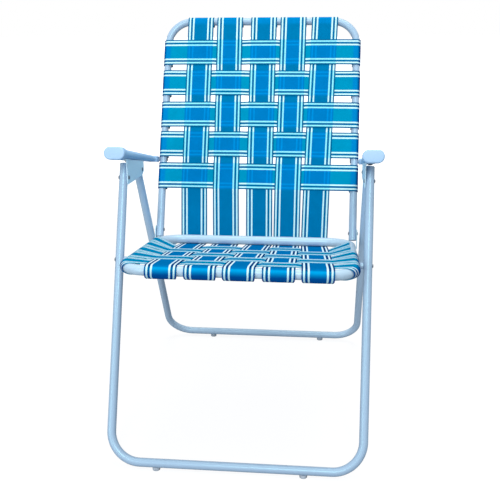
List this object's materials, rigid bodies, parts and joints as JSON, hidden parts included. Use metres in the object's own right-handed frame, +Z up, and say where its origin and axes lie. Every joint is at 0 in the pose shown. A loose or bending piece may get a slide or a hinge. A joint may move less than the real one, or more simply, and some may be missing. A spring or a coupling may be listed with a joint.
{
  "type": "folding webbed lawn chair",
  "caption": "Folding lawn chair: bent tube leg frames, seat loop and back bow on a parallel linkage, with woven striped webbing, flat armrests and riveted pivots.",
  "frame": {"origin": "on the floor, under the middle of the open chair's box", "axes": "+Z up, -Y the way the sitter faces, +X to the sitter's left"},
  "size_m": [0.5054, 0.6194, 0.7678],
  "materials": {
    "frame_paint": "satin white paint on bent steel tube",
    "bracket_paint": "satin white paint on pressed steel sheet",
    "arm_plastic": "white moulded plastic, smooth",
    "webbing_lengthwise": "woven plastic yarn webbing with lengthwise stripes",
    "webbing_crosswise": "woven plastic yarn webbing with lengthwise stripes",
    "rivet_steel": "zinc plated",
    "foot_plastic": "moulded plastic"
  },
  "bodies": {
    "front_legs": {"front_leg_frame": "frame_paint", "front_foot_left": "foot_plastic", "front_foot_right": "foot_plastic", "seat_rivet_left": "rivet_steel", "seat_rivet_right": "rivet_steel", "seat_spacer_left": "bracket_paint", "seat_spacer_right": "bracket_paint"},
    "seat": {"seat_frame": "frame_paint", "seat_frame_sleeve": "rivet_steel", "seat_strap_1": "webbing_lengthwise", "seat_strap_2": "webbing_lengthwise", "seat_strap_3": "webbing_lengthwise", "seat_strap_4": "webbing_lengthwise", "seat_strap_5": "webbing_lengthwise", "seat_cross_strap_1": "webbing_crosswise", "seat_cross_strap_2": "webbing_crosswise", "seat_cross_strap_3": "webbing_crosswise", "seat_cross_strap_4": "webbing_crosswise", "seat_cross_strap_5": "webbing_crosswise", "back_hinge_bracket_left": "bracket_paint", "back_hinge_bracket_right": "bracket_paint", "back_hinge_foot_rivet_left": "rivet_steel", "back_hinge_foot_rivet_right": "rivet_steel"},
    "back": {"back_frame": "frame_paint", "back_strap_1": "webbing_lengthwise", "back_strap_2": "webbing_lengthwise", "back_strap_3": "webbing_lengthwise", "back_strap_4": "webbing_lengthwise", "back_strap_5": "webbing_lengthwise", "back_cross_strap_1": "webbing_crosswise", "back_cross_strap_2": "webbing_crosswise", "back_cross_strap_3": "webbing_crosswise", "back_cross_strap_4": "webbing_crosswise", "back_cross_strap_5": "webbing_crosswise", "back_hinge_rivet_left": "rivet_steel", "back_hinge_rivet_right": "rivet_steel", "arm_rear_rivet_left": "rivet_steel", "arm_rear_rivet_right": "rivet_steel", "arm_rear_washer_left": "rivet_steel", "arm_rear_washer_right": "rivet_steel"},
    "arms": {"armrest_left": "arm_plastic", "armrest_right": "arm_plastic", "arm_bracket_left": "bracket_paint", "arm_bracket_right": "bracket_paint", "front_leg_rivet_left": "rivet_steel", "front_leg_rivet_right": "rivet_steel", "rear_leg_rivet_left": "rivet_steel", "rear_leg_rivet_right": "rivet_steel", "arm_bracket_screw_left_1": "rivet_steel", "arm_bracket_screw_left_2": "rivet_steel", "arm_bracket_screw_right_1": "rivet_steel", "arm_bracket_screw_right_2": "rivet_steel"},
    "rear_legs": {"rear_leg_frame": "frame_paint", "rear_foot_left": "foot_plastic", "rear_foot_right": "foot_plastic"}
  },
  "joints": [
    {"name": "seat_fold", "type": "hinge", "parent": "front_legs", "child": "seat", "pos_m": [0, -0.14966, 0.34823], "axis": [1, 0, 0], "range_deg": [0, 60]},
    {"name": "back_fold", "type": "hinge", "parent": "seat", "child": "back", "pos_m": [0, 0.10629, 0.33057], "axis": [-1, 0, 0], "range_deg": [0, 60]},
    {"name": "arm_fold", "type": "hinge", "parent": "front_legs", "child": "arms", "pos_m": [0, -0.08522, 0.4903], "axis": [1, 0, 0], "range_deg": [0, 60]},
    {"name": "rear_leg_fold", "type": "hinge", "parent": "arms", "child": "rear_legs", "pos_m": [0, 0.02123, 0.48295], "axis": [-1, 0, 0], "range_deg": [0, 113.3]}
  ],
  "couplings": [
    {"joint": "back_fold", "follows": "seat_fold", "ratio": 1},
    {"joint": "arm_fold", "follows": "seat_fold", "ratio": 1},
    {"joint": "rear_leg_fold", "follows": "seat_fold", "ratio": 1.888}
  ]
}
